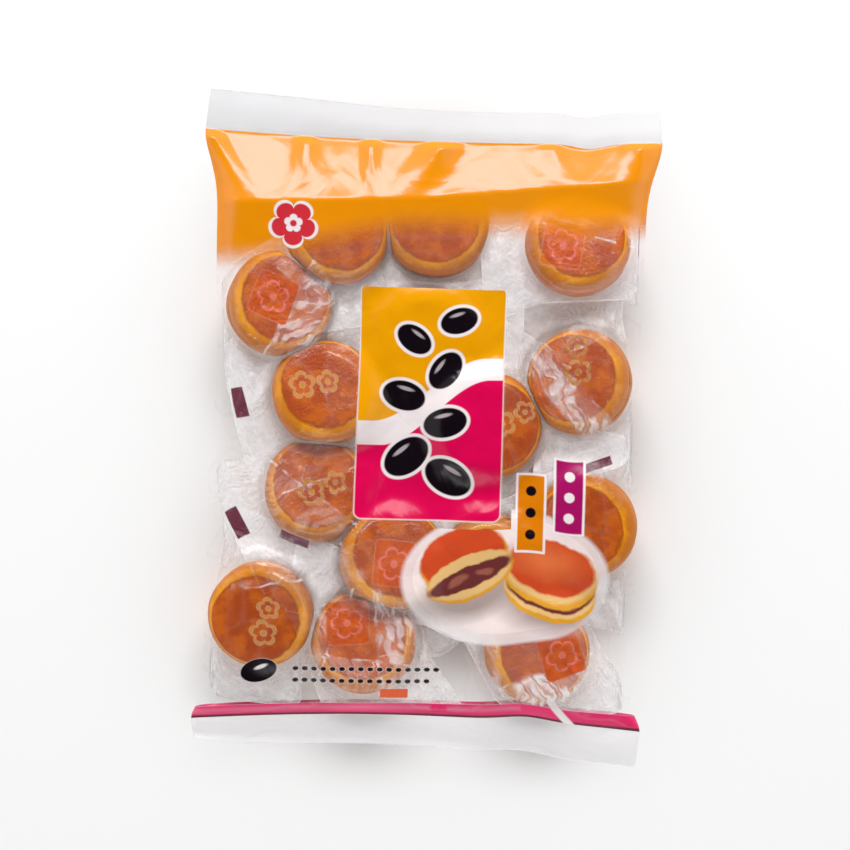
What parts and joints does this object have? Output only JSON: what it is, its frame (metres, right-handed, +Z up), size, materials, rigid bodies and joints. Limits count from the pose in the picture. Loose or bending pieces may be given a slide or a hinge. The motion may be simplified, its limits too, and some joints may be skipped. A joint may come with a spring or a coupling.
{
  "type": "bag of wrapped dorayaki",
  "caption": "Clear printed pillow bag, lying flat, filled with small individually wrapped pancake sandwiches with sweet bean filling.",
  "frame": {"origin": "middle of the bag's underside, on the surface that it lies on", "axes": "+Y along the bag towards its top end, +Z up out of the printed front, +X across to the front's right"},
  "size_m": [0.205, 0.3004, 0.0305],
  "materials": {
    "bag_film": "gloss",
    "wrapper_film": "gloss",
    "pancake": "satin",
    "bean_paste": "satin"
  },
  "bodies": {
    "root": {"bag": "bag_film"}
  },
  "joints": []
}
